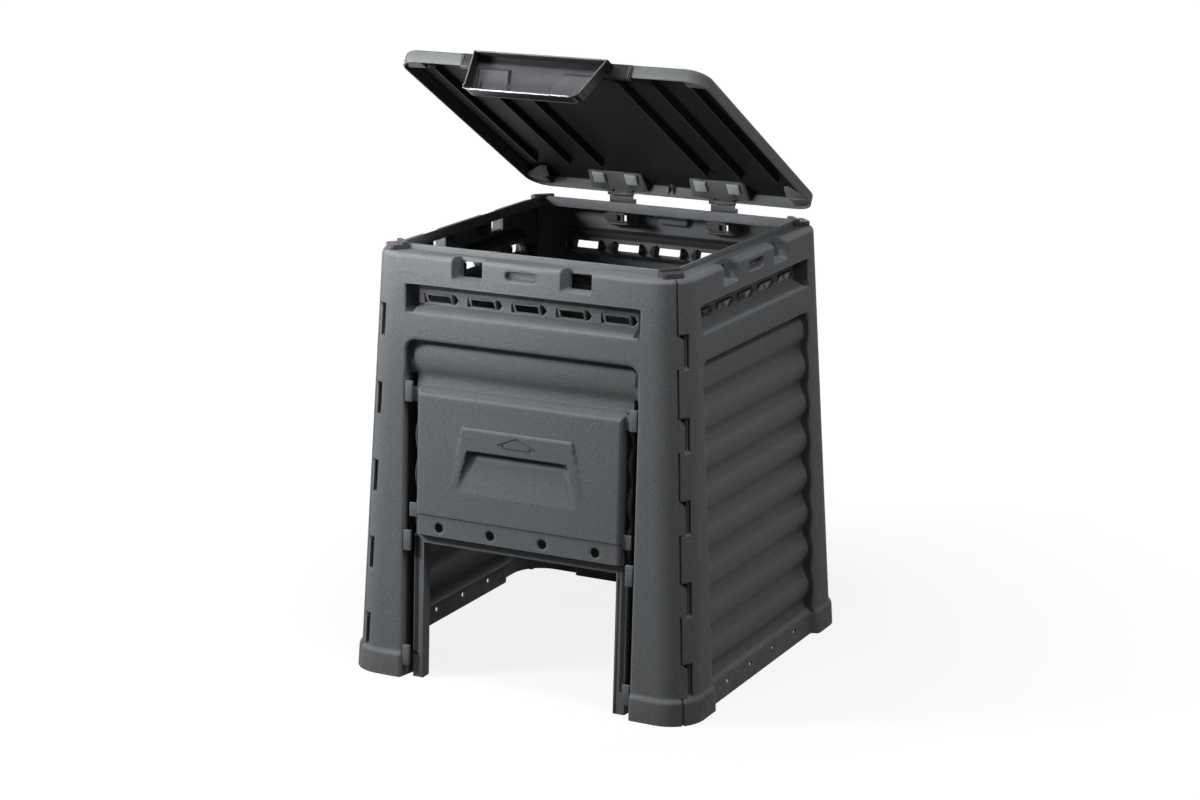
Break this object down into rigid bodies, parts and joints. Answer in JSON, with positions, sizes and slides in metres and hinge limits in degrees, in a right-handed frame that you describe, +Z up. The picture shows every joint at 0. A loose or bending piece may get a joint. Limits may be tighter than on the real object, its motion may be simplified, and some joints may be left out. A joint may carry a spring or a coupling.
{
  "type": "compost bin",
  "caption": "Square tapered garden compost bin of corrugated plastic panels, with a hinged lid and handle and a sliding front hatch.",
  "frame": {"origin": "middle of the base, on the ground plane", "axes": "+Z up, -Y towards the front with the hatch, +X to the right seen from the front"},
  "size_m": [0.65, 0.65, 1.0562],
  "materials": {
    "panel_plastic": "fine moulded grain, mid grey",
    "lid_plastic": "fine moulded grain, mid grey, slight sheen",
    "dark_fittings": "smooth dark grey",
    "smoky_grip": "smooth smoky grey, satin sheen"
  },
  "bodies": {
    "bin": {"front_panel": "panel_plastic", "right_panel": "panel_plastic", "back_panel": "panel_plastic", "left_panel": "panel_plastic", "corner_cap_front_left": "dark_fittings", "corner_cap_front_right": "dark_fittings", "corner_cap_back_left": "dark_fittings", "corner_cap_back_right": "dark_fittings"},
    "straps": {"hinge_strap_left": "dark_fittings", "hinge_strap_right": "dark_fittings", "hinge_pin_left": "dark_fittings", "hinge_pin_right": "dark_fittings", "strap_clip_left": "dark_fittings", "strap_clip_right": "dark_fittings"},
    "lid": {"lid": "lid_plastic", "lid_handle": "smoky_grip", "hinge_block_left": "lid_plastic", "hinge_block_right": "lid_plastic", "hinge_plug_left_outer": "lid_plastic", "hinge_plug_left_inner": "lid_plastic", "hinge_plug_right_outer": "lid_plastic", "hinge_plug_right_inner": "lid_plastic"},
    "hatch": {"hatch_door": "panel_plastic"}
  },
  "joints": [
    {"name": "strap_slide", "type": "slide", "parent": "bin", "child": "straps", "axis": [0, 0, 1], "range_m": [-0.015, 0]},
    {"name": "lid_hinge", "type": "hinge", "parent": "straps", "child": "lid", "pos_m": [0, 0.2668, 0.7483], "axis": [-1, 0, 0], "range_deg": [-30.65, 59.35]},
    {"name": "hatch_slide", "type": "slide", "parent": "bin", "child": "hatch", "axis": [0, 0.0477, 0.9989], "range_m": [-0.2503, 0]}
  ]
}
